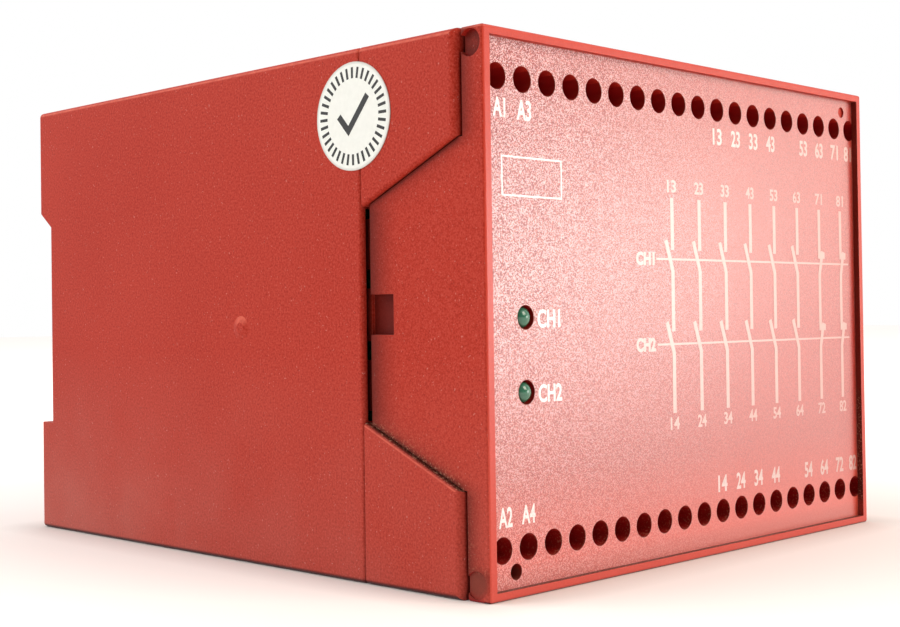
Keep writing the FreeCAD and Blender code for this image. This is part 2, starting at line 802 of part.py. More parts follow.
upper_housing = terminal_housing()
save(upper_housing, "upper_terminal_housing")
save(flipped(upper_housing), "lower_terminal_housing")
for make, piece in ((terminal_screw, "screws"), (terminal_cage, "cages"), (terminal_pin, "pins")):
    group = each_way(make)
    save(group, "upper_terminal_" + piece)
    save(flipped(group), "lower_terminal_" + piece)

save(terminal_board(), "terminal_board")
save(led_board(), "led_board")
save(led(led_heights[0]), "led_channel_1")
save(led(led_heights[1]), "led_channel_2")

save(relay_board(True), "lower_relay_board")
save(flipped(relay_board(False)), "upper_relay_board")
save(board_link(), "lower_board_link")
save(flipped(board_link()), "upper_board_link")
for number, x in ((1, -relay_x), (2, relay_x)):
    save(output_relay(x), "output_relay_%d" % number)
    save(flipped(output_relay(x)), "output_relay_%d" % (number + 2))
save(Part.makeCompound([supply_capacitor(x, y) for x, y in capacitor_places()]), "supply_capacitors")
save(Part.makeCompound([suppressor_diode(x, y) for x, y in diode_places()]), "suppressor_diodes")

for side, x in (("left", -latch_x), ("right", latch_x)):
    save(rail_latch(x), "rail_latch_" + side)
    save(latch_spring(x), "latch_spring_" + side)
save(seal_label(), "seal_label")
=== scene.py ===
import json
import math

import bmesh
import bpy
from mathutils import Euler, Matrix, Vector

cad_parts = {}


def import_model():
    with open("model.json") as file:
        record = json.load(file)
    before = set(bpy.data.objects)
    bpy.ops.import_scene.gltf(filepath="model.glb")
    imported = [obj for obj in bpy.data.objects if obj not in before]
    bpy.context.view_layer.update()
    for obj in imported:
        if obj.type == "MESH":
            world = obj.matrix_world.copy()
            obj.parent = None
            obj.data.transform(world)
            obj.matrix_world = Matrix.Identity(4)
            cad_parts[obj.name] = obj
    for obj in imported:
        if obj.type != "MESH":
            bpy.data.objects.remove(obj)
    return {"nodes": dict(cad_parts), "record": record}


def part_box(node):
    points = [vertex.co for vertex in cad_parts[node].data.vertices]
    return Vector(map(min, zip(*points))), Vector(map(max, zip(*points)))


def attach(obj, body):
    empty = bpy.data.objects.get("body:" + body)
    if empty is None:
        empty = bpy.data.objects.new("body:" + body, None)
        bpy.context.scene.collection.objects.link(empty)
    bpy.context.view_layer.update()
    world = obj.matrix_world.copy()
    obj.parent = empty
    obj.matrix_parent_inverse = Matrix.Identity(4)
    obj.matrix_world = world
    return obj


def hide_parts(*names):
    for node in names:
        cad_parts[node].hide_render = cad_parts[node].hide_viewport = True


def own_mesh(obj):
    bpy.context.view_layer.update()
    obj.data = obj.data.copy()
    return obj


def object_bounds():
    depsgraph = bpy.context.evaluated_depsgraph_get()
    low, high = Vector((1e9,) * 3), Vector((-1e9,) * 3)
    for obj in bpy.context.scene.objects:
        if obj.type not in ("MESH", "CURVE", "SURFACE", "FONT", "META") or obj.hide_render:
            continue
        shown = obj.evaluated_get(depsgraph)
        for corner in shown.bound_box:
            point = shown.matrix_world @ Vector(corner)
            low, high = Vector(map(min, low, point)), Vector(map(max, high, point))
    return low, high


# Safety relay in a red moulded rail housing: looks, light and camera around the CAD model.
# Metres, in the model's frame: +X along the front, the front looks along -Y, Z = 0 is the
# face it stands on. Places on the front field are given in millimetres from the housing's
# lower left corner, and turned into the frame by on_field().

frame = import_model()
cad_low, cad_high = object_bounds()

MM = 0.001
WELD = 1e-7                   # vertices this close become one
NOISE_SPAN = (0.3, 0.7)       # most of a noise texture lies in here
FACE_ON = 0.7                 # a normal with this much along an axis looks along it

# ---------------------------------------------------------------- places from the frame
cover_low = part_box("front_cover")[0]
housing_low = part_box("rear_housing")[0]
block_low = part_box("upper_terminal_housing")[0]
screws_low, screws_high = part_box("upper_terminal_screws")
seal_low, seal_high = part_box("seal_label")

WAYS = 19
SCREW_HEAD_D = 3.4 * MM
FIELD_RECESS = 1.0 * MM
TONGUE_LENGTH = 10.0 * MM     # the housing's snap tongues stand out of its mouth

field_y = cover_low.y + FIELD_RECESS
block_front = block_low.y
mouth = housing_low.y + TONGUE_LENGTH
left_x = block_low.x
first_way_x = screws_low.x + SCREW_HEAD_D / 2
way_pitch = (screws_high.x - screws_low.x - SCREW_HEAD_D) / (WAYS - 1)
seal_centre = (seal_low + seal_high) / 2
seal_radius = (seal_high.z - seal_low.z) / 2

# ---------------------------------------------------------------- prints on the field, mm
INK_PROUD = 0.02
INK_SUNK = 0.01
INK_LAYER = 0.008
MITRE_LIMIT = 0.3             # keeps the corners of a line short
LIGHT = 0.025                 # how far the outline of a figure is spread
HEAVY = 0.05
LETTER_HEIGHT = 2.6
LETTER_WIDTH = 2.5            # two figures side by side
LETTERS_RIGHT = 96.5          # clear of the rim
TOP_LETTERS_LOW = 63.2
BOTTOM_LETTERS_LOW = 9.3
SUPPLY_MARKS = (              # text, left, right, low, high
    ("A1", 3.6, 6.05, 63.35, 65.9),
    ("A3", 8.3, 11.2, 63.15, 65.95),
    ("A2", 3.65, 6.3, 9.3, 12.0),
    ("A4", 8.15, 10.9, 9.4, 11.95),
    ("CH1", 11.9, 16.6, 35.4, 37.9),
    ("CH2", 11.9, 16.8, 25.35, 27.8),
)
TOP_NUMBERS = {11: "13", 12: "23", 13: "33", 14: "43", 16: "53", 17: "63", 18: "71", 19: "81"}
BOTTOM_NUMBERS = {11: "14", 12: "24", 13: "34", 14: "44", 16: "54", 17: "64", 18: "72", 19: "82"}
FRAME_BOX = (5.2, 17.3, 53.05, 58.2)
FRAME_LINE = 0.22

CONTACT_FIRST = 42.9
CONTACT_PITCH = 7.05
CONTACTS = 8
CLOSED_CONTACTS = 2           # the last ones
CONTACT_LINE = 0.85
TICK_LINE = 1.1
TICK_REACH = 1.7              # to the right of a closed contact's line
CONTACT_TOP = 54.4
CONTACT_BOTTOM = 22.2
CONTACT_STOPS = (46.6, 34.4)  # lower ends of the fixed lines, channel 1 and 2
BLADE_FOOT = 3.2              # blade foot below its fixed line's end
BLADE_TAIL = 1.0              # its stroke goes on below the foot
OPEN_TIP = (-1.65, 1.4)       # blade tip beside and above the end
CLOSED_TIP = (0.99, 0.7)
LINK_HEIGHTS = (45.2, 32.5)
LINK_LEFT = 38.8
LINK_RIGHT = 94.8
LINK_LINE = 0.30
LINK_LABELS = (("CH1", 33.9, 38.4, 44.2, 46.2), ("CH2", 33.7, 38.4, 31.5, 33.6))
SMALL_NUMBER = (2.3, 1.9)     # width and height beside the lines
SMALL_TOP_LOW = 55.2
SMALL_BOTTOM_LOW = 19.7

# ---------------------------------------------------------------- prints on the seal, mm
SEAL_TICKS = 36
SEAL_TICK_IN = 5.35
SEAL_TICK_OUT = 6.9
SEAL_TICK_LINE = 0.42
SEAL_CHECK = ((-2.9, 0.2), (-0.9, -2.0), (3.1, 2.7))
SEAL_CHECK_LINE = 0.95
SEAL_RIM = 0.45               # greyed edge of the film

# ---------------------------------------------------------------- springs
SPRING_BENDS = 6
SPRING_BEND_STEPS = 8
SPRING_WIRE = 0.7 * MM

# ---------------------------------------------------------------- camera and light
CAMERA_PLACE = (-0.18589, -0.18265, 0.03723)
CAMERA_TILT = (90.7696, 0.7936, -44.9635)   # degrees about X, Y, Z
CAMERA_LENS = 58.166
CAMERA_SENSOR = 36.0
CAMERA_SHIFT = (0.01853, -0.01916)

AMBIENT = 0.80                # strength of the surroundings as light
DARK_SIDE = (-0.35, -0.937, 0.0)  # the room behind the camera is darker than the studio
DARK_FROM, DARK_TO = -0.1, 0.7    # cosine of the angle to that side
DARK_SHARE = 0.22                 # of the light that is left there
WARM_LIGHT = (1.0, 0.88, 0.76)
WARMER_LIGHT = (1.0, 0.87, 0.70)
NEAR_WHITE = (1.0, 0.98, 0.97)
WHITE = (1.0, 1.0, 1.0)
LAMPS = (                     # name, place, aim, width, height, radiance, colour
    ("glare_softbox", (0.525, -0.635, 0.07), (0.0, -0.05, 0.04), 0.30, 0.16, 7.05, NEAR_WHITE),
    ("second_softbox", (0.64, -0.46, 0.13), (0.0, -0.05, 0.04), 0.22, 0.20, 1.6, WARMER_LIGHT),
    ("front_softbox", (0.25, -0.90, 0.72), (0.0, 0.0, 0.03), 0.6, 0.6, 5.6, WARM_LIGHT),
    ("rear_softbox", (-0.85, 0.70, 0.85), (0.0, 0.0, 0.03), 1.0, 0.8, 2.5, WHITE),
    ("top_softbox", (0.0, 0.1, 1.2), (0.0, 0.0, 0.0), 1.0, 1.0, 0.8, WHITE),
)

FLOOR_SIZE = 6.0
FLOOR_COLOUR = (0.80, 0.755, 0.715)
FLOOR_GLOW = (1.0, 0.975, 0.95)
FLOOR_NEAR = 0.008            # this far from the object the floor is lifted towards white
FLOOR_FAR = 0.25              # by the first lift, and this far by both
FLOOR_LIFTS = (0.18, 0.34)
FLOOR_MIRRORED = 0.35         # lift of the floor where the object's gloss shows it

# ---------------------------------------------------------------- the red mouldings
HOUSING_REDS = ((0.445, 0.029, 0.013), (0.475, 0.036, 0.018))   # deep and pale
COVER_REDS = ((0.445, 0.026, 0.010), (0.475, 0.033, 0.015))
GRAIN_PALE = (0.64, 0.095, 0.07)
GRAIN_DEEP = (0.24, 0.012, 0.008)
# a dusting, and a painted reflection of the bright floor, low on the sides
FLOOR_SHEEN_AND_DUST = (0.66, 0.42, 0.36)
SPECKS = (0.72, 0.38, 0.33)
# near black: painted shade, with some dirt, in corners and joints
JOINT_SHADE_AND_DIRT = (0.030, 0.004, 0.004)
# painted highlight on edges that look up, and worn sharp edges
EDGE_HIGHLIGHT_AND_WEAR = (0.72, 0.13, 0.08)
# painted shade on the lowest edges
SHADED_LOW_EDGES = (0.055, 0.003, 0.005)
GRIME = (0.085, 0.016, 0.009)
CRUMBS = (0.50, 0.27, 0.17)
# painted shade under the skirt
SHADE_UNDER_SKIRT = (0.105, 0.006, 0.004)
# painted shadow that the proud blocks and the mouth cast on the skirt
SHADOW_BESIDE_BLOCKS = (0.075, 0.006, 0.003)
# painted shade in the holes
SHADE_IN_HOLES = (0.42, 0.002, 0.005)
STAIN = (0.20, 0.045, 0.030)
RIM_RED = (0.62, 0.040, 0.014)
# painted warm light bounced from the floor, on the foot of the field
FLOOR_BOUNCE_ON_FIELD = (0.80, 0.075, 0.030)
# pale painted glints of the field's grain
PAINTED_GLINTS = (0.90, 0.60, 0.60)
PITS = (0.22, 0.012, 0.012)

MOULDING_GLOSS = 0.13                    # specular level
HOUSING_GRAIN = 0.33 * MM                # size of the grain, and its depth
HOUSING_RELIEF = 0.012 * MM
COVER_GRAIN = 0.26 * MM
COVER_RELIEF = 0.024 * MM
FIELD_GRAIN = 0.16 * MM
CRYSTAL_SIZE = 0.12 * MM
SPECK_SIZE = 0.36 * MM
CRUMB_SIZE = 0.30 * MM
CLOUD_SIZE = 30 * MM
EDGE_ROUNDING = 0.12 * MM
WEAR_REACH = 0.15 * MM                   # from a sharp edge
HIGHLIGHT_AND_WEAR_PATCH = 1.2 * MM
SHEEN_AND_DUST_TOP = 32 * MM
SHEEN_AND_DUST_DEPTHS = (-20 * MM, 50 * MM)        # there is more of it towards the rear
SHEEN_AND_DUST_PATCH = 12 * MM
LOW_EDGE_TOP = (1.4 * MM, 1.0 * MM)      # the shade of the lowest edges fades in here
COVERED_HEIGHT = 14 * MM                 # above and below the middle, behind the skirt
CORNER_REACH = 3.0 * MM                  # painted shade and dirt gather where walls this close hide a surface
SKIRT_REACH = 5.0 * MM                   # and shades it this far beside them
BLOCK_SHADE = 4.2 * MM                   # in front of the corner blocks
BLOCK_HEIGHTS = (21.5 * MM, 24 * MM)     # their shade fades in this far from the middle
MOUTH_SHADE = 7.5 * MM                   # in front of the housing's mouth
MOUTH_HEIGHTS = (17 * MM, 14 * MM)
LEDGE_HEIGHTS = (24 * MM, 22 * MM)       # dirt lies on the lower blocks below these
HOLE_REACH = 9.0 * MM
STAIN_FROM_FRONT = 2.3 * MM
STAIN_FROM_BOTTOM = 2.3 * MM
STAIN_RADIUS = 2.1 * MM
BOUNCE_HEIGHTS = (16 * MM, 5 * MM)
GLINTS_ACROSS = (-40 * MM, 15 * MM)     # the painted glints fade from left to right
GLINTS_UP = (12 * MM, 40 * MM)          # and are weaker low down
GLARE_ROUGHNESS = 0.30                   # lacquered look of the printed field
GLARE_IOR = 1.85

# ---------------------------------------------------------------- the other finishes
METALS = {                    # bright and dull colour, roughness, stretch of the drawn marks
    "plated_screw": ((0.60, 0.58, 0.53), (0.42, 0.40, 0.36), 0.34, (1.0, 0.15, 1.0)),
    "plated_cage": ((0.58, 0.57, 0.54), (0.44, 0.43, 0.40), 0.38, (1.0, 1.0, 0.12)),
    "tinned_contact": ((0.62, 0.58, 0.46), (0.50, 0.44, 0.30), 0.36, (0.2, 1.0, 1.0)),
    "spring_steel": ((0.46, 0.46, 0.46), (0.33, 0.33, 0.34), 0.32, (0.1, 1.0, 1.0)),
}
PLAIN_MOULDINGS = {           # deep and pale colour, roughness, size of the grain
    "relay_can": ((0.010, 0.012, 0.018), (0.018, 0.021, 0.030), 0.34, 0.5 * MM),
    "capacitor_can": ((0.006, 0.008, 0.022), (0.012, 0.016, 0.040), 0.24, 1.5 * MM),
    "diode_body": ((0.008, 0.008, 0.008), (0.020, 0.020, 0.020), 0.30, 0.5 * MM),
    "link_strip": ((0.010, 0.010, 0.010), (0.022, 0.022, 0.022), 0.45, 0.4 * MM),
    "latch_plastic": ((0.012, 0.012, 0.013), (0.032, 0.032, 0.034), 0.48, 0.3 * MM),
}
METAL_MARKS, METAL_CLOUDS = 0.25 * MM, 1.5 * MM
METAL_RELIEF, METAL_ROUNDING = 0.004 * MM, 0.06 * MM
PLAIN_RELIEF = 0.01 * MM

SOLDER_MASK = (0.010, 0.085, 0.030)
MASK_ON_TRACKS = (0.022, 0.170, 0.060)
MASK_ON_WEAVE = (0.04, 0.20, 0.09)
TRACK_STEP, TRACK_BENDS = 2.2 * MM, 9 * MM
TRACK_WANDER = 5.0                       # in steps
WEAVE_SIZE = 0.4 * MM
TRACK_RELIEF, BOARD_ROUNDING = 0.03 * MM, 0.08 * MM

LENS_GREENS = ((0.032, 0.19, 0.105), (0.050, 0.25, 0.145))
LENS_HAZE, LENS_RELIEF, LENS_ROUNDING = 0.8 * MM, 0.01 * MM, 0.05 * MM
FILM_WHITES = ((0.92, 0.945, 0.89), (0.96, 0.985, 0.93))
FILM_RIM = (0.40, 0.33, 0.29)
FILM_PEEL, FILM_RELIEF, FILM_ROUNDING = 0.9 * MM, 0.015 * MM, 0.05 * MM

WHITE_INK = ((0.88, 0.80, 0.78), (0.60, 0.33, 0.28))   # at the left and the right
WORN_INK = ((0.74, 0.50, 0.45), (0.57, 0.25, 0.20))
BLACK_INK = ((0.012, 0.012, 0.013), (0.012, 0.012, 0.013))
INK_GROUND = (0.48, 0.12, 0.09)          # shows through the ink on the red field
INK_FADE = (-30 * MM, 40 * MM)           # across the field
INK_GRAIN, INK_RELIEF = 0.22 * MM, 0.006 * MM


# ---------------------------------------------------------------- node materials
class Finish:
    """A node material round one Principled shader. Textures lie in the object's metres."""

    def __init__(self, name):
        self.material = bpy.data.materials.new(name)
        self.material.use_nodes = True
        self.tree = self.material.node_tree
        self.shader = self.tree.nodes["Principled BSDF"]
        self.coordinates = self.node("ShaderNodeTexCoord")
        self.place = self.coordinates.outputs["Object"]

    def node(self, kind, **settings):
        made = self.tree.nodes.new(kind)
        for key, value in settings.items():
            setattr(made, key, value)
        return made

    def put(self, value, socket):
        """Links an output to the socket, or sets a plain value on it."""
        if isinstance(value, bpy.types.NodeSocket):
            self.tree.links.new(value, socket)
        elif isinstance(value, tuple) and len(value) == 3 and len(socket.default_value) == 4:
            socket.default_value = (*value, 1.0)
        else:
            socket.default_value = value

    def set(self, **values):
        """Sets the shader's inputs: coat_ior stands for Coat IOR."""
        for key, value in values.items():
            words = [w.upper() if w == "ior" else w.capitalize() for w in key.split("_")]
            self.put(value, self.shader.inputs[" ".join(words)])

    def math(self, operation, a, b=0.0):
        made = self.node("ShaderNodeMath", operation=operation)
        self.put(a, made.inputs[0])
        self.put(b, made.inputs[1])
        return made.outputs[0]

    def times(self, first, *others):
        for other in others:
            first = self.math("MULTIPLY", first, other)
        return first

    def minus(self, a, b):
        return self.math("SUBTRACT", a, b)

    def length(self, *sides):
        """Length of the vector with those components."""
        squares = [self.times(side, side) for side in sides]
        return self.math("SQRT", self.math("ADD", *squares))

    def noise(self, size, detail=2.0, roughness=0.5, stretch=(1.0, 1.0, 1.0)):
        """Soft noise from 0 to 1 with features of about that size in metres."""
        place = self.node("ShaderNodeMapping")
        self.put(self.place, place.inputs["Vector"])
        place.inputs["Scale"].default_value = [k / size for k in stretch]
        made = self.node("ShaderNodeTexNoise")
        made.inputs["Scale"].default_value = 1.0
        made.inputs["Detail"].default_value = detail
        made.inputs["Roughness"].default_value = roughness
        self.put(place.outputs[0], made.inputs["Vector"])
        return made.outputs[0]

    def crystals(self, size):
        """Irregular cells of about that size, each with a level of its own from 0 to 1."""
        made = self.node("ShaderNodeTexVoronoi")
        made.inputs["Scale"].default_value = 1 / size
        self.put(self.place, made.inputs["Vector"])
        return self.split(made.outputs["Color"])[0]

    def step(self, source, low, high, to_low=0.0, to_high=1.0):
        """Maps low..high of the source to to_low..to_high, and holds it there outside."""
        made = self.node("ShaderNodeMapRange")
        for socket, value in zip(made.inputs, (source, low, high, to_low, to_high)):
            self.put(value, socket)
        return made.outputs[0]

    def mix(self, share, a, b):
        """Colour a at share 0 and b at share 1."""
        made = self.node("ShaderNodeMix", data_type="RGBA")
        for index, value in ((0, share), (6, a), (7, b)):
            self.put(value, made.inputs[index])
        return made.outputs[2]

    def split(self, vector):
        made = self.node("ShaderNodeSeparateXYZ")
        self.put(vector, made.inputs[0])
        return made.outputs

    def rounded(self, radius):
        """Normal of the surface as if its edges had that radius."""
        made = self.node("ShaderNodeBevel", samples=4)
        made.inputs["Radius"].default_value = radius
        return made.outputs[0]

    def edges(self, radius):
        """1 on the edges, 0 on flat ground."""
        dot = self.node("ShaderNodeVectorMath", operation="DOT_PRODUCT")
        self.put(self.rounded(radius), dot.inputs[0])
        self.put(self.node("ShaderNodeNewGeometry").outputs["True Normal"], dot.inputs[1])
        return self.step(self.minus(1.0, dot.outputs["Value"]), 0.02, 0.25)

    def sky(self, reach):
        """1 on open ground, down to 0 deep in holes and joints narrower than the reach."""
        made = self.node("ShaderNodeAmbientOcclusion", samples=8)
        made.inputs["Distance"].default_value = reach
        return made.outputs["AO"]

    def bump(self, height, depth, normal):
        made = self.node("ShaderNodeBump")
        made.inputs["Strength"].default_value = 1.0
        made.inputs["Distance"].default_value = depth
        self.put(height, made.inputs["Height"])
        self.put(normal, made.inputs["Normal"])
        return made.outputs[0]


def from_middle(finish, z):
    """Height above or below the middle of the side."""
    return finish.math("ABSOLUTE", finish.minus(z, cad_high.z / 2))


def dirt(finish, colour, share):
    """Brown grime with paler crumbs in it."""
    crumbs = finish.step(finish.noise(CRUMB_SIZE, 1.0), 0.56, 0.66, 0.0, 0.75)
    return finish.mix(share, colour, finish.mix(crumbs, GRIME, CRUMBS))


def moulded_red(finish, reds, grain):
    """Red pigment: slow cloudiness, fine grain, specks, painted shade and dirt in corners, a
    dusting and a painted floor reflection low down, painted highlights on edges that look up,
    worn sharp edges, painted shade on the lowest edges, and dirt on ledges.
    """
    cloud = finish.step(finish.noise(CLOUD_SIZE, 3.0), 0.35, 0.65)
    colour = finish.mix(cloud, *reds)
    colour = finish.mix(finish.step(grain, 0.45, 0.75, 0.0, 0.60), colour, GRAIN_PALE)
    colour = finish.mix(finish.step(grain, 0.45, 0.25, 0.0, 0.70), colour, GRAIN_DEEP)

    # a dusting and a painted reflection of the bright floor lighten it low down
    _, depth, z = finish.split(finish.place)
    floor_sheen_and_dust = finish.times(finish.step(z, SHEEN_AND_DUST_TOP, 0.0, 0.0, 0.07),
                        finish.step(depth, *SHEEN_AND_DUST_DEPTHS, 1.0, 2.2),
                        finish.step(finish.noise(SHEEN_AND_DUST_PATCH, 4.0), *NOISE_SPAN, 0.6, 1.4))
    colour = finish.mix(floor_sheen_and_dust, colour, FLOOR_SHEEN_AND_DUST)
    specks = finish.step(finish.noise(SPECK_SIZE, 1.0), 0.72, 0.77, 0.0, 0.38)
    colour = finish.mix(specks, colour, SPECKS)
    sky = finish.sky(CORNER_REACH)
    # painted shade, with some dirt, darkens corners and joints that walls hide
    colour = finish.mix(finish.step(sky, 0.55, 0.10, 0.0, 0.9), colour, JOINT_SHADE_AND_DIRT)

    # edges that look up get a painted highlight, and sharp ones are a little worn
    lean = finish.split(finish.coordinates.outputs["Normal"])[2]
    upper = finish.times(finish.step(lean, 0.06, 0.22), finish.step(lean, 0.60, 0.42))
    highlight_and_wear = finish.math("MAXIMUM", finish.times(finish.edges(WEAR_REACH), 0.2), upper)
    highlight_and_wear = finish.times(highlight_and_wear, finish.step(finish.noise(HIGHLIGHT_AND_WEAR_PATCH, 3.0), 0.3, 0.6, 0.40, 0.9))
    colour = finish.mix(highlight_and_wear, colour, EDGE_HIGHLIGHT_AND_WEAR)

    # the lowest edges, which look down, get painted shade
    low = finish.times(finish.step(lean, -0.12, -0.60, 0.0, 0.88), finish.step(z, *LOW_EDGE_TOP))
    colour = finish.mix(low, colour, SHADED_LOW_EDGES)

    # dirt lies on the ledges
    ledge = finish.times(finish.step(lean, 0.55, 0.75), finish.step(sky, 0.93, 0.75), 0.85)
    return dirt(finish, colour, ledge)


def red_moulding():
    """Rear housing and terminal housings: satin, spark-eroded texture."""
    finish = Finish("red_moulding")
    grain = finish.noise(HOUSING_GRAIN, 2.0, 0.6)
    colour = moulded_red(finish, HOUSING_REDS, grain)

    # painted shade where the skirt covers it, which its notch shows
    _, depth, z = finish.split(finish.place)
    shade_under_skirt = finish.times(
        finish.math("LESS_THAN", depth, mouth - 0.1 * MM),
        finish.math("LESS_THAN", from_middle(finish, z), COVERED_HEIGHT), 0.85)
    colour = finish.mix(shade_under_skirt, colour, SHADE_UNDER_SKIRT)

    finish.set(base_color=colour, roughness=finish.step(grain, *NOISE_SPAN, 0.42, 0.56),
               normal=finish.bump(grain, HOUSING_RELIEF, finish.rounded(EDGE_ROUNDING)),
               specular_ior_level=MOULDING_GLOSS)
    return finish.material


def skirt_shade(finish, colour, depth, z, sides):
    """Painted shadow on the skirt beside the proud blocks and in front of the housing's mouth,
    and dirt on the ledges.
    """
    beside = finish.times(finish.step(finish.sky(SKIRT_REACH), 1.0, 0.90), sides,
                          finish.step(z, 0.5 * MM, SKIRT_REACH))
    height = from_middle(finish, z)
    by_block = finish.step(depth, block_front - BLOCK_SHADE, block_front)
    by_block = finish.times(finish.math("POWER", by_block, 1.5),
                            finish.step(height, *BLOCK_HEIGHTS))
    by_mouth = finish.step(depth, mouth - MOUTH_SHADE, mouth - 1 * MM)
    by_mouth = finish.times(finish.math("POWER", by_mouth, 1.7),
                            finish.step(height, *MOUTH_HEIGHTS))
    ahead = finish.times(finish.math("MAXIMUM", by_block, by_mouth), sides, 0.85)
    shade = finish.math("MAXIMUM", finish.times(beside, 0.80), ahead)
    # painted shadow beside the blocks and ahead of the mouth
    colour = finish.mix(shade, colour, SHADOW_BESIDE_BLOCKS)
    ledge = finish.times(finish.step(z, *LEDGE_HEIGHTS),
                         finish.step(beside, 0.5, 0.9, 0.0, 0.6))
    return dirt(finish, colour, ledge)


def cover_moulding():
    """Front cover: as the housing, with coarse grain and painted glints on the sunk field."""
    finish = Finish("cover_moulding")
    grain = finish.noise(COVER_GRAIN, 2.0, 0.65)
    colour = moulded_red(finish, COVER_REDS, grain)

    # the front with its rim and sunk field, and the sides
    x, depth, z = finish.split(finish.place)
    across, facing, _ = finish.split(finish.coordinates.outputs["Normal"])
    front = finish.times(finish.math("LESS_THAN", depth, field_y + 0.2 * MM),
                         finish.math("LESS_THAN", facing, -FACE_ON))
    field = finish.times(front, finish.math("GREATER_THAN", depth, field_y - 0.2 * MM))
    sides = finish.math("GREATER_THAN", finish.math("ABSOLUTE", across), FACE_ON)

    colour = skirt_shade(finish, colour, depth, z, sides)
    # painted shade deep in the holes and recesses behind the field
    shade_in_holes = finish.times(finish.step(finish.sky(HOLE_REACH), 0.62, 0.20, 0.0, 0.75),
                          finish.math("GREATER_THAN", depth, field_y + 0.05 * MM))
    colour = finish.mix(shade_in_holes, colour, SHADE_IN_HOLES)

    # stain on the shallow pocket low on the side
    radius = finish.length(finish.minus(depth, cover_low.y + STAIN_FROM_FRONT),
                           finish.minus(z, cover_low.z + STAIN_FROM_BOTTOM))
    stain = finish.step(radius, STAIN_RADIUS, 0.55 * STAIN_RADIUS, 0.0, 0.75)
    colour = finish.mix(stain, colour, STAIN)

    # the rim is a brighter red than the sides, and the foot of the field gets a painted warm
    # bounce of light from the floor
    colour = finish.mix(finish.times(finish.minus(front, field), 0.7), colour, RIM_RED)
    foot = finish.times(field, finish.step(z, *BOUNCE_HEIGHTS, 0.0, 0.55))
    colour = finish.mix(foot, colour, FLOOR_BOUNCE_ON_FIELD)

    # painted glints of the grain on the field, most on its left, and dark pits among them
    coarse = finish.crystals(CRYSTAL_SIZE)
    # rubbed marks where the painted glints, the pits and the finer relief show
    rubbed = finish.times(field, finish.step(x, *GLINTS_ACROSS, 1.0, 0.12),
                          finish.step(z, *GLINTS_UP, 0.45, 1.0))
    glints = finish.times(finish.step(coarse, 0.58, 0.70, 0.0, 0.70), rubbed)
    colour = finish.mix(glints, colour, PAINTED_GLINTS)
    pits = finish.times(finish.step(coarse, 0.42, 0.30, 0.0, 0.85), rubbed)
    colour = finish.mix(pits, colour, PITS)

    fine = finish.noise(FIELD_GRAIN, 1.0)
    height = finish.math("ADD", finish.times(grain, 0.35), finish.times(fine, rubbed))
    normal = finish.bump(height, COVER_RELIEF, finish.rounded(EDGE_ROUNDING))
    coat = finish.times(front, finish.step(field, 0.0, 1.0, 0.32, 1.0),
                        finish.step(pits, 0.0, 0.9, 1.0, 0.45))
    finish.set(base_color=colour, roughness=finish.step(grain, *NOISE_SPAN, 0.42, 0.54),
               normal=normal, specular_ior_level=MOULDING_GLOSS,
               coat_weight=coat, coat_normal=normal,
               coat_roughness=GLARE_ROUGHNESS, coat_ior=GLARE_IOR)
    return finish.material


def metal(name, bright, dull, rough, stretch):
    """Plated metal with drawn marks and slightly clouded plating."""
    finish = Finish(name)
    drawn = finish.noise(METAL_MARKS, 3.0, 0.6, stretch)
    cloud = finish.noise(METAL_CLOUDS, 3.0)
    colour = finish.mix(finish.step(cloud, 0.35, 0.7), bright, dull)
    finish.set(base_color=colour, metallic=1.0,
               roughness=finish.step(drawn, *NOISE_SPAN, rough - 0.08, rough + 0.1),
               normal=finish.bump(drawn, METAL_RELIEF, finish.rounded(METAL_ROUNDING)))
    return finish.material


def circuit_board():
    """Green solder mask with tracks that show through as paler ridges."""
    finish = Finish("circuit_board")
    x, _, z = finish.split(finish.place)
    wander = finish.noise(TRACK_BENDS, 1.0)
    lanes = finish.math("ADD", finish.times(finish.math("ADD", x, z), 1 / TRACK_STEP),
                        finish.times(wander, TRACK_WANDER))
    track = finish.step(finish.math("PINGPONG", lanes, 1.0), 0.58, 0.66)
    weave = finish.noise(WEAVE_SIZE, 2.0)
    colour = finish.mix(track, SOLDER_MASK, MASK_ON_TRACKS)
    colour = finish.mix(finish.step(weave, *NOISE_SPAN, 0.0, 0.25), colour, MASK_ON_WEAVE)
    finish.set(base_color=colour, roughness=finish.step(weave, *NOISE_SPAN, 0.28, 0.42),
               normal=finish.bump(track, TRACK_RELIEF, finish.rounded(BOARD_ROUNDING)))
    return finish.material


def green_lens():
    """Tinted diffused epoxy of a lamp that is off."""
    finish = Finish("green_lens")
    haze = finish.noise(LENS_HAZE, 3.0)
    colour = finish.mix(finish.step(haze, *NOISE_SPAN), *LENS_GREENS)
    finish.set(base_color=colour, roughness=finish.step(haze, *NOISE_SPAN, 0.16, 0.26),
               normal=finish.bump(haze, LENS_RELIEF, finish.rounded(LENS_ROUNDING)),
               transmission_weight=0.25, coat_weight=0.6, coat_roughness=0.08)
    return finish.material


def plain_moulding(name, deep, pale, rough, grain_size):
    """Dark moulded or sleeved part with fine grain and worn edges."""
    finish = Finish(name)
    grain = finish.noise(grain_size, 3.0, 0.6)
    colour = finish.mix(finish.step(grain, *NOISE_SPAN), deep, pale)
    worn = tuple(min(1.0, 1.6 * c + 0.03) for c in pale)
    colour = finish.mix(finish.times(finish.edges(EDGE_ROUNDING), 0.4), colour, worn)
    finish.set(base_color=colour,
               roughness=finish.step(grain, *NOISE_SPAN, rough - 0.06, rough + 0.08),
               normal=finish.bump(grain, PLAIN_RELIEF, finish.rounded(EDGE_ROUNDING)))
    return finish.material


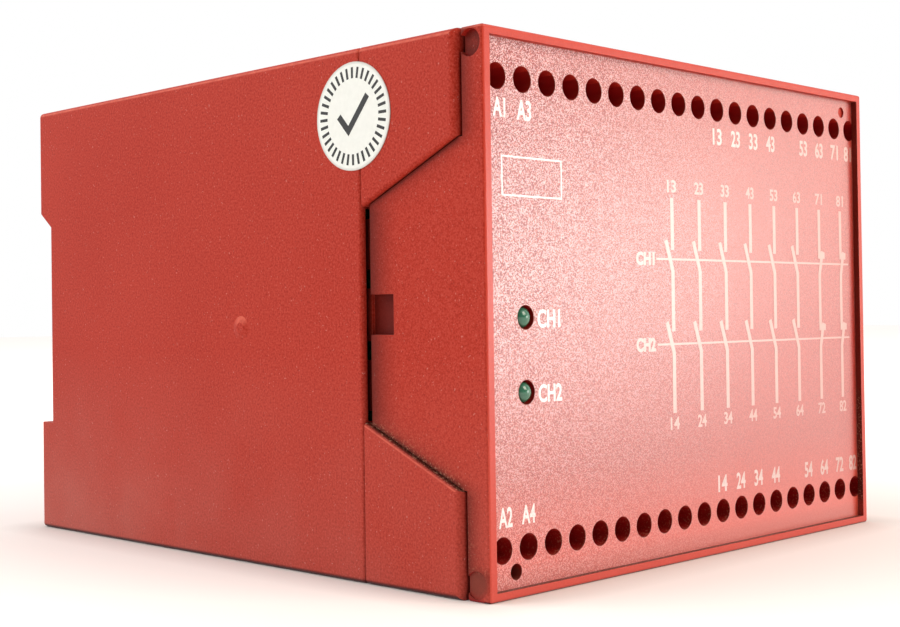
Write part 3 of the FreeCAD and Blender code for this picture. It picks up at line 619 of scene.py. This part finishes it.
def label_film():
    """White vinyl film with a faint orange peel and greyed rim."""
    finish = Finish("label_film")
    peel = finish.noise(FILM_PEEL, 2.0)
    _, y, z = finish.split(finish.place)
    radius = finish.length(finish.minus(y, seal_centre.y), finish.minus(z, seal_centre.z))
    rim = finish.step(radius, seal_radius - SEAL_RIM * MM, seal_radius, 0.0, 0.5)
    colour = finish.mix(finish.step(peel, *NOISE_SPAN), *FILM_WHITES)
    colour = finish.mix(rim, colour, FILM_RIM)
    finish.set(base_color=colour, roughness=finish.step(peel, *NOISE_SPAN, 0.30, 0.42),
               normal=finish.bump(peel, FILM_RELIEF, finish.rounded(FILM_ROUNDING)))
    return finish.material


def ink(name, colours, coated):
    """Screen ink, uneven so that the ground shows through, and more rubbed to the right."""
    finish = Finish(name)
    cover = finish.noise(INK_GRAIN, 2.0)
    across = finish.step(finish.split(finish.place)[0], *INK_FADE)
    full = finish.mix(across, *colours)
    thin = finish.mix(0.45, full, INK_GROUND) if coated else full
    surface = finish.node("ShaderNodeNewGeometry").outputs["Normal"]
    finish.set(base_color=finish.mix(finish.step(cover, 0.28, 0.46), thin, full),
               roughness=finish.step(cover, *NOISE_SPAN, 0.40, 0.55),
               normal=finish.bump(cover, INK_RELIEF, surface),
               coat_weight=coated, coat_roughness=GLARE_ROUGHNESS, coat_ior=GLARE_IOR)
    return finish.material


# ---------------------------------------------------------------- flat printed shapes
def on_field(u, v, proud):
    """Place on the sunk front field, from millimetres right and up of the lower left corner."""
    return Vector((left_x + u * MM, field_y - proud * MM, v * MM))


def on_seal(u, v, proud):
    """Place on the round seal, from millimetres right and up of its middle as one faces it."""
    return Vector((seal_low.x - proud * MM, seal_centre.y - u * MM, seal_centre.z + v * MM))


def add_stroke(shape, points, line, place, layer=0):
    """Flat solid line of that width through the points, with mitred corners.

    A line that crosses another lies on a layer of its own.
    """
    top = INK_PROUD + layer * INK_LAYER
    corners = [Vector(p) for p in points]
    runs = [(b - a).normalized() for a, b in zip(corners, corners[1:])]
    edges = []
    for i, corner in enumerate(corners):
        before = runs[max(0, i - 1)]
        after = runs[min(i, len(runs) - 1)]
        across = Vector((-(before + after).y, (before + after).x)).normalized()
        reach = line / 2 / max(MITRE_LIMIT, across.dot(Vector((-after.y, after.x))))
        edges.append((corner + across * reach, corner - across * reach))
    rings = []
    for one, other in edges:
        section = ((one, top), (other, top), (other, -INK_SUNK), (one, -INK_SUNK))
        rings.append([shape.verts.new(place(p.x, p.y, proud)) for p, proud in section])
    for a, b in zip(rings, rings[1:]):
        for i in range(4):
            shape.faces.new((a[i], a[(i + 1) % 4], b[(i + 1) % 4], b[i]))
    shape.faces.new(rings[0][::-1])
    shape.faces.new(rings[-1])


def curve_mesh(curve):
    """Mesh made of the curve, which isn't kept."""
    carrier = bpy.data.objects.new(curve.name, curve)
    mesh = bpy.data.meshes.new_from_object(carrier)
    bpy.data.objects.remove(carrier)
    bpy.data.curves.remove(curve)
    return mesh


def add_letters(shape, text, left, right, low, high, place, weight=LIGHT):
    """Flat solid figures in the built-in type, fitted between four limits."""
    curve = bpy.data.curves.new("letters", "FONT")
    curve.body = text
    curve.extrude = 0.5       # any depth: each vertex then goes to the top or the underside
    curve.offset = weight
    curve.resolution_u = 4
    mesh = curve_mesh(curve)
    xs = [v.co.x for v in mesh.vertices]
    ys = [v.co.y for v in mesh.vertices]
    for v in mesh.vertices:
        u = left + (right - left) * (v.co.x - min(xs)) / (max(xs) - min(xs))
        w = low + (high - low) * (v.co.y - min(ys)) / (max(ys) - min(ys))
        v.co = place(u, w, INK_PROUD if v.co.z > 0 else -INK_SUNK)
    shape.from_mesh(mesh)
    bpy.data.meshes.remove(mesh)


def make_piece(name, shape, material, body="root"):
    """Turns the mesh into a piece that rides on a body and takes its finish from a slot."""
    bmesh.ops.remove_doubles(shape, verts=shape.verts, dist=WELD)
    bmesh.ops.recalc_face_normals(shape, faces=shape.faces)
    mesh = bpy.data.meshes.new(name)
    shape.to_mesh(mesh)
    shape.free()
    piece = bpy.data.objects.new(name, mesh)
    bpy.context.scene.collection.objects.link(piece)
    mesh.materials.append(material)
    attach(piece, body)
    return piece


def way_mark(way):
    """Middle of a terminal, in millimetres from the left."""
    return (first_way_x + (way - 1) * way_pitch - left_x) / MM


def terminal_marks(white):
    """Numbers beside the screwdriver holes, and the names of the two lamps."""
    shape = bmesh.new()
    for text, left, right, low, high in SUPPLY_MARKS:
        add_letters(shape, text, left, right, low, high, on_field)
    for numbers, low in ((TOP_NUMBERS, TOP_LETTERS_LOW), (BOTTOM_NUMBERS, BOTTOM_LETTERS_LOW)):
        for way, text in numbers.items():
            middle = min(way_mark(way), LETTERS_RIGHT - LETTER_WIDTH / 2)
            add_letters(shape, text, middle - LETTER_WIDTH / 2, middle + LETTER_WIDTH / 2,
                        low, low + LETTER_HEIGHT, on_field)
    make_piece("terminal_marks", shape, white)


def empty_frame(white):
    """Printed box for the user's own mark."""
    left, right, low, high = FRAME_BOX
    half = FRAME_LINE / 2
    shape = bmesh.new()
    for z in (low, high):
        add_stroke(shape, ((left - half, z), (right + half, z)), FRAME_LINE, on_field)
    for x in (left, right):
        add_stroke(shape, ((x, low + half), (x, high - half)), FRAME_LINE, on_field)
    make_piece("user_mark_frame", shape, white)


def add_contact(shape, x, closed):
    """One output: a fixed line, then for each channel a blade and the line below it."""
    start = CONTACT_TOP
    for stop in CONTACT_STOPS:
        add_stroke(shape, ((x, start), (x, stop)), CONTACT_LINE, on_field)
        if closed:
            tick = ((x - CONTACT_LINE / 2, stop), (x + TICK_REACH, stop))
            add_stroke(shape, tick, TICK_LINE, on_field, layer=2)
        aside, above = CLOSED_TIP if closed else OPEN_TIP
        start = stop - BLADE_FOOT
        blade = ((x + aside, stop + above), (x, start), (x, start - BLADE_TAIL))
        add_stroke(shape, blade, CONTACT_LINE, on_field, layer=1)
    add_stroke(shape, ((x, start), (x, CONTACT_BOTTOM)), CONTACT_LINE, on_field)


def contact_diagram(white):
    """The outputs side by side, with their numbers, linked for each channel."""
    shape = bmesh.new()
    width, height = SMALL_NUMBER
    for i in range(CONTACTS):
        x = CONTACT_FIRST + i * CONTACT_PITCH
        add_contact(shape, x, i >= CONTACTS - CLOSED_CONTACTS)
        for numbers, low in ((TOP_NUMBERS, SMALL_TOP_LOW), (BOTTOM_NUMBERS, SMALL_BOTTOM_LOW)):
            add_letters(shape, list(numbers.values())[i], x - width / 2, x + width / 2,
                        low, low + height, on_field)
    for z in LINK_HEIGHTS:
        add_stroke(shape, ((LINK_LEFT, z), (LINK_RIGHT, z)), LINK_LINE, on_field, layer=3)
    for text, left, right, low, high in LINK_LABELS:
        add_letters(shape, text, left, right, low, high, on_field, HEAVY)
    make_piece("contact_diagram", shape, white)


def seal_marks(black):
    """Ring of plain ticks and a check mark on the seal."""
    shape = bmesh.new()
    for i in range(SEAL_TICKS):
        angle = 2 * math.pi * i / SEAL_TICKS
        out = Vector((math.sin(angle), math.cos(angle)))
        add_stroke(shape, (out * SEAL_TICK_IN, out * SEAL_TICK_OUT), SEAL_TICK_LINE, on_seal)
    add_stroke(shape, SEAL_CHECK, SEAL_CHECK_LINE, on_seal)
    make_piece("seal_marks", shape, black)


# ---------------------------------------------------------------- springs
def zigzag_spring(side, steel):
    """Round-wire spring that stands for the CAD one, the spring its latch presses."""
    node = "latch_spring_" + side
    low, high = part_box(node)
    middle = (low + high) / 2
    radius = SPRING_WIRE / 2
    base = low.z + radius
    step = (high.z - low.z - SPRING_WIRE) / SPRING_BENDS
    reach = (high.x - low.x) / 2 - radius - step / 2
    path = []
    for i in range(SPRING_BENDS + 1):
        direction = 1 if i % 2 == 0 else -1
        z = base + i * step
        path += [Vector((middle.x - direction * reach, middle.y, z)),
                 Vector((middle.x + direction * reach, middle.y, z))]
        if i < SPRING_BENDS:
            for j in range(1, SPRING_BEND_STEPS):
                angle = math.pi * j / SPRING_BEND_STEPS
                out = direction * (reach + math.sin(angle) * step / 2)
                up = (1 - math.cos(angle)) * step / 2
                path.append(Vector((middle.x + out, middle.y, z + up)))
    curve = bpy.data.curves.new("spring_wire", "CURVE")
    curve.dimensions = "3D"
    curve.bevel_depth = radius
    curve.bevel_resolution = 4
    curve.use_fill_caps = True
    line = curve.splines.new("POLY")
    line.points.add(len(path) - 1)
    for point, place in zip(line.points, path):
        point.co = (*place, 1.0)
    mesh = curve_mesh(curve)
    shape = bmesh.new()
    shape.from_mesh(mesh)
    bpy.data.meshes.remove(mesh)
    spring = make_piece("zigzag_spring_" + side, shape, steel)
    for face in spring.data.polygons:
        face.use_smooth = True
    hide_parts(node)
    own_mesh(spring)


# ---------------------------------------------------------------- stage
def seen_rays(finish):
    """1 for rays that look at the background: from the camera, mirrored or through glass."""
    path = finish.node("ShaderNodeLightPath").outputs
    seen = finish.math("MAXIMUM", path["Is Camera Ray"], path["Is Glossy Ray"])
    return finish.math("MAXIMUM", seen, path["Is Transmission Ray"])


def floor():
    """Plain pale floor. Seen directly or mirrored it is lifted to white, and it keeps shadows."""
    shape = bmesh.new()
    bmesh.ops.create_grid(shape, x_segments=1, y_segments=1, size=FLOOR_SIZE / 2)
    mesh = bpy.data.meshes.new("floor")
    shape.to_mesh(mesh)
    shape.free()
    plane = bpy.data.objects.new("floor", mesh)
    bpy.context.scene.collection.objects.link(plane)
    finish = Finish("floor_paint")
    seen = seen_rays(finish)
    x, y, _ = finish.split(finish.place)
    away = finish.length(*[
        finish.math("MAXIMUM", finish.minus(finish.math("ABSOLUTE", axis), half), 0.0)
        for axis, half in ((x, cad_high.x), (y, cad_high.y))])
    lift = finish.math("ADD", finish.step(away, 0.0, FLOOR_NEAR, 0.0, FLOOR_LIFTS[0]),
                       finish.step(away, FLOOR_NEAR, FLOOR_FAR, 0.0, FLOOR_LIFTS[1]))
    glossy = finish.node("ShaderNodeLightPath").outputs["Is Glossy Ray"]
    lift = finish.math("MAXIMUM", finish.times(glossy, FLOOR_MIRRORED), lift)
    finish.set(base_color=FLOOR_COLOUR, roughness=0.9, specular_ior_level=0.0,
               emission_color=FLOOR_GLOW, emission_strength=finish.times(seen, lift))
    mesh.materials.append(finish.material)


def world():
    """White surroundings: plain white where seen, and softer and darker on one side as light."""
    made = bpy.data.worlds.new("studio")
    made.use_nodes = True
    bpy.context.scene.world = made
    tree = made.node_tree

    def node(kind, links, **settings):
        one = tree.nodes.new(kind)
        for key, value in settings.items():
            setattr(one, key, value)
        for name, value in links.items():
            if isinstance(value, bpy.types.NodeSocket):
                tree.links.new(value, one.inputs[name])
            else:
                one.inputs[name].default_value = value
        return one.outputs

    path = node("ShaderNodeLightPath", {})
    direction = node("ShaderNodeTexCoord", {})["Generated"]
    towards = node("ShaderNodeVectorMath", {0: direction, 1: DARK_SIDE},
                   operation="DOT_PRODUCT")["Value"]
    shade = node("ShaderNodeMapRange",
                 {"Value": towards, "From Min": DARK_FROM, "From Max": DARK_TO,
                  "To Min": 1.0, "To Max": DARK_SHARE}, interpolation_type="SMOOTHSTEP")[0]
    level = node("ShaderNodeMapRange",
                 {"Value": path["Is Glossy Ray"], "To Min": AMBIENT, "To Max": 1.0})[0]
    light = node("ShaderNodeMath", {0: shade, 1: level}, operation="MULTIPLY")[0]
    seen = node("ShaderNodeMath", {0: path["Is Camera Ray"], 1: path["Is Transmission Ray"]},
                operation="MAXIMUM")[0]
    strength = node("ShaderNodeMapRange", {"Value": seen, "To Min": light, "To Max": 1.0})[0]
    tree.links.new(strength, tree.nodes["Background"].inputs["Strength"])
    tree.nodes["Background"].inputs["Color"].default_value = (1.0, 1.0, 1.0, 1.0)


def softbox(name, place, aim, width, height, radiance, colour):
    """Rectangular lamp that looks from place towards aim."""
    lamp = bpy.data.lights.new(name, "AREA")
    lamp.shape = "RECTANGLE"
    lamp.size = width
    lamp.size_y = height
    lamp.energy = 4 * width * height * radiance   # watts
    lamp.color = colour
    holder = bpy.data.objects.new(name, lamp)
    holder.location = place
    holder.rotation_euler = (Vector(aim) - Vector(place)).to_track_quat("-Z", "Y").to_euler()
    bpy.context.scene.collection.objects.link(holder)


def camera():
    """The photograph's camera."""
    lens = bpy.data.cameras.new("camera")
    lens.lens = CAMERA_LENS
    lens.sensor_width = CAMERA_SENSOR
    lens.shift_x, lens.shift_y = CAMERA_SHIFT
    lens.clip_start = 0.01
    lens.clip_end = 20.0
    holder = bpy.data.objects.new("camera", lens)
    holder.location = CAMERA_PLACE
    holder.rotation_euler = Euler([math.radians(a) for a in CAMERA_TILT])
    bpy.context.scene.collection.objects.link(holder)
    bpy.context.scene.camera = holder


# ---------------------------------------------------------------- put together
finishes = {make.__name__: make() for make in (
    red_moulding, cover_moulding, circuit_board, green_lens, label_film)}
finishes.update({name: metal(name, *look) for name, look in METALS.items()})
finishes.update({name: plain_moulding(name, *look) for name, look in PLAIN_MOULDINGS.items()})
for part in frame["record"]["subparts"]:
    node = frame["nodes"][part["node"]]
    node.material_slots[0].material = finishes[part["material_slot"]]

white_ink = ink("white_ink", WHITE_INK, 1.0)
worn_ink = ink("worn_ink", WORN_INK, 1.0)
black_ink = ink("black_ink", BLACK_INK, 0.0)
terminal_marks(white_ink)
empty_frame(white_ink)
contact_diagram(worn_ink)
seal_marks(black_ink)
for side in ("left", "right"):
    zigzag_spring(side, finishes["spring_steel"])

floor()
world()
for lamp in LAMPS:
    softbox(*lamp)
camera()
bpy.context.scene.view_settings.view_transform = "Standard"
